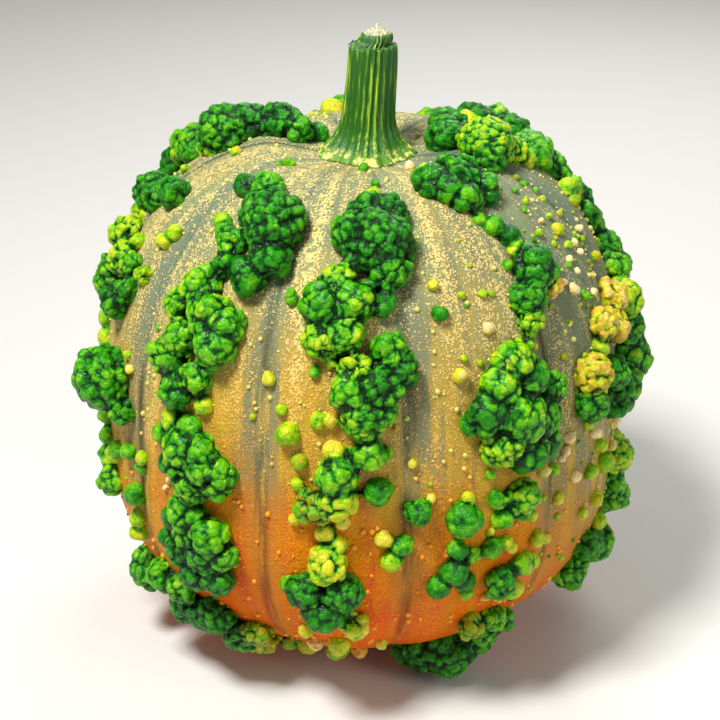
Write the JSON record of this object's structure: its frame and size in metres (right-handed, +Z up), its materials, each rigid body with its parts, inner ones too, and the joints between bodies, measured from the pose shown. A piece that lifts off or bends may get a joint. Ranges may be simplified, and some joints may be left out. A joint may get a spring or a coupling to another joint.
{
  "type": "winter squash",
  "caption": "Round ribbed winter squash with clusters of lobed warts and a ridged cut stem, resting upright on its blossom end.",
  "frame": {"origin": "middle of the flat spot that the squash rests on", "axes": "+Z up towards the stem, -Y the side that the picture shows from the front, +X to the right in the picture"},
  "size_m": [0.265, 0.2663, 0.2856],
  "materials": {
    "rind": "satin, grey-green speckled cream, going orange at the base, with dark green to lime warts",
    "green_wood": "satin, green with lighter ridges and a yellow-green foot"
  },
  "bodies": {
    "root": {"fruit": "rind", "stem": "green_wood"}
  },
  "joints": []
}
